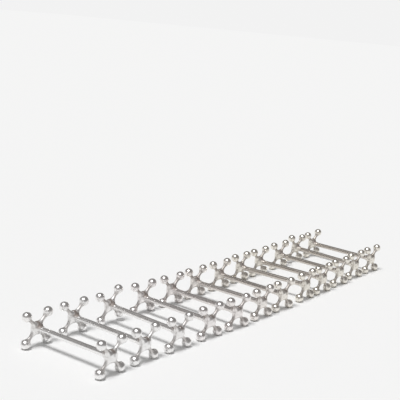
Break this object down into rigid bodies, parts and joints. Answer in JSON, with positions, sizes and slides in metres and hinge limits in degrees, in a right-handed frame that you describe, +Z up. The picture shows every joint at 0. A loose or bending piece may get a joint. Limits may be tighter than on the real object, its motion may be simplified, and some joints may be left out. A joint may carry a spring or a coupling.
{
  "type": "knife rest set",
  "caption": "Row of separate silver-plated knife rests, each a round rod between two cast cross-shaped ends that stand on ball feet.",
  "frame": {"origin": "on the table plane, under the middle of the row", "axes": "+X along the rods towards the front ends, +Y along the row, +Z up"},
  "size_m": [0.0786, 0.3968, 0.0281],
  "materials": {
    "cast_end": "polished silver plate with light tarnish in the hollows",
    "rod": "drawn silver-plated rod, polished, finely scratched by knives"
  },
  "bodies": {
    "rest_01": {"rest_01_rod": "rod", "rest_01_back_end": "cast_end", "rest_01_front_end": "cast_end"},
    "rest_02": {"rest_02_rod": "rod", "rest_02_back_end": "cast_end", "rest_02_front_end": "cast_end"},
    "rest_03": {"rest_03_rod": "rod", "rest_03_back_end": "cast_end", "rest_03_front_end": "cast_end"},
    "rest_04": {"rest_04_rod": "rod", "rest_04_back_end": "cast_end", "rest_04_front_end": "cast_end"},
    "rest_05": {"rest_05_rod": "rod", "rest_05_back_end": "cast_end", "rest_05_front_end": "cast_end"},
    "rest_06": {"rest_06_rod": "rod", "rest_06_back_end": "cast_end", "rest_06_front_end": "cast_end"},
    "rest_07": {"rest_07_rod": "rod", "rest_07_back_end": "cast_end", "rest_07_front_end": "cast_end"},
    "rest_08": {"rest_08_rod": "rod", "rest_08_back_end": "cast_end", "rest_08_front_end": "cast_end"},
    "rest_09": {"rest_09_rod": "rod", "rest_09_back_end": "cast_end", "rest_09_front_end": "cast_end"},
    "rest_10": {"rest_10_rod": "rod", "rest_10_back_end": "cast_end", "rest_10_front_end": "cast_end"},
    "rest_11": {"rest_11_rod": "rod", "rest_11_back_end": "cast_end", "rest_11_front_end": "cast_end"},
    "rest_12": {"rest_12_rod": "rod", "rest_12_back_end": "cast_end", "rest_12_front_end": "cast_end"}
  },
  "joints": [
    {"name": "rest_02_lift", "type": "slide", "parent": "rest_01", "child": "rest_02", "axis": [0, 0, 1], "range_m": [0, 0.06]},
    {"name": "rest_03_lift", "type": "slide", "parent": "rest_01", "child": "rest_03", "axis": [0, 0, 1], "range_m": [0, 0.06]},
    {"name": "rest_04_lift", "type": "slide", "parent": "rest_01", "child": "rest_04", "axis": [0, 0, 1], "range_m": [0, 0.06]},
    {"name": "rest_05_lift", "type": "slide", "parent": "rest_01", "child": "rest_05", "axis": [0, 0, 1], "range_m": [0, 0.06]},
    {"name": "rest_06_lift", "type": "slide", "parent": "rest_01", "child": "rest_06", "axis": [0, 0, 1], "range_m": [0, 0.06]},
    {"name": "rest_07_lift", "type": "slide", "parent": "rest_01", "child": "rest_07", "axis": [0, 0, 1], "range_m": [0, 0.06]},
    {"name": "rest_08_lift", "type": "slide", "parent": "rest_01", "child": "rest_08", "axis": [0, 0, 1], "range_m": [0, 0.06]},
    {"name": "rest_09_lift", "type": "slide", "parent": "rest_01", "child": "rest_09", "axis": [0, 0, 1], "range_m": [0, 0.06]},
    {"name": "rest_10_lift", "type": "slide", "parent": "rest_01", "child": "rest_10", "axis": [0, 0, 1], "range_m": [0, 0.06]},
    {"name": "rest_11_lift", "type": "slide", "parent": "rest_01", "child": "rest_11", "axis": [0, 0, 1], "range_m": [0, 0.06]},
    {"name": "rest_12_lift", "type": "slide", "parent": "rest_01", "child": "rest_12", "axis": [0, 0, 1], "range_m": [0, 0.06]}
  ]
}
